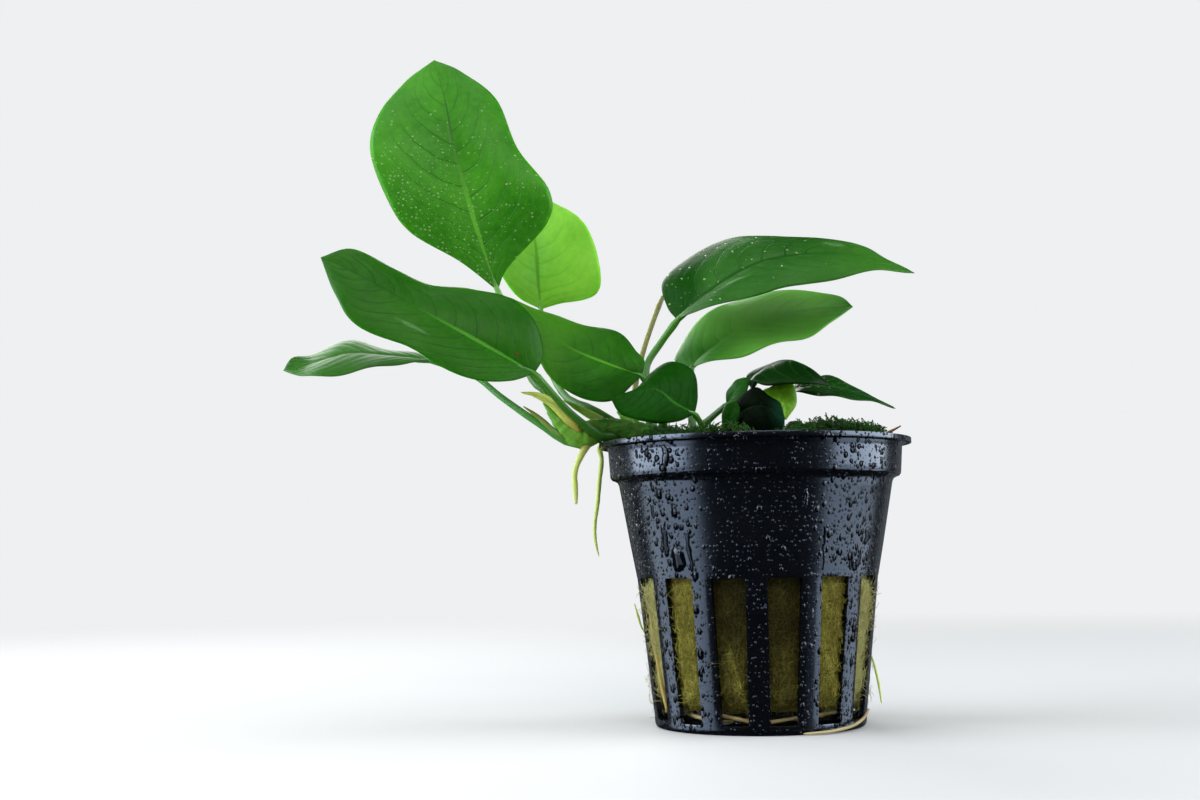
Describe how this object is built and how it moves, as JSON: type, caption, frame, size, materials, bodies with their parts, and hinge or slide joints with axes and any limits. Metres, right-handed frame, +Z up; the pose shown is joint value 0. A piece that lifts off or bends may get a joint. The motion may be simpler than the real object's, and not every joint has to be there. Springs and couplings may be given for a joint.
{
  "type": "potted dwarf anubias",
  "caption": "Small aquarium plant with broad leaves on a creeping rhizome, growing in rock wool in a slotted plastic net pot with moss around its foot.",
  "frame": {"origin": "middle of the pot's flat base", "axes": "+Z up along the pot's axis, +X along the rhizome towards the viewer's right, -Y towards the viewer"},
  "size_m": [0.11, 0.0625, 0.119],
  "materials": {
    "plastic_black": "gloss",
    "rock_wool_fibre": "matte",
    "rhizome_green": "satin",
    "shoot_olive": "satin",
    "leaf_green": "satin",
    "leaf_pale": "satin",
    "leaf_dark": "gloss",
    "leaf_yellow": "satin",
    "root_pale": "satin",
    "root_cream": "matte",
    "twig_brown": "matte",
    "moss_green": "matte"
  },
  "bodies": {
    "root": {"pot": "plastic_black", "rock_wool": "rock_wool_fibre", "rhizome": "rhizome_green", "leaf_tall": "leaf_green", "leaf_pale": "leaf_pale", "leaf_long": "leaf_green", "leaf_low": "leaf_green", "leaf_centre": "leaf_green", "leaf_front": "leaf_green", "leaf_right": "leaf_green", "leaf_right_lower": "leaf_green", "leaf_back": "leaf_green", "leaf_arched": "leaf_dark", "leaf_trailing": "leaf_dark", "leaf_small": "leaf_dark", "leaf_curled": "leaf_dark", "leaf_lobe": "leaf_dark", "leaf_yellowed": "leaf_yellow", "leaf_stub": "leaf_dark", "new_shoot": "shoot_olive", "leaf_sheath": "rhizome_green", "aerial_root_short": "root_pale", "aerial_root_long": "root_pale", "rim_twig": "twig_brown", "loose_root_right": "root_pale", "loose_root_left": "root_pale", "loose_root_front": "root_cream", "root_bottom_left": "root_cream", "root_bottom_front": "root_cream", "root_bottom_right": "root_cream", "root_bottom_back": "root_cream", "moss_right": "moss_green", "moss_left": "moss_green"}
  },
  "joints": []
}
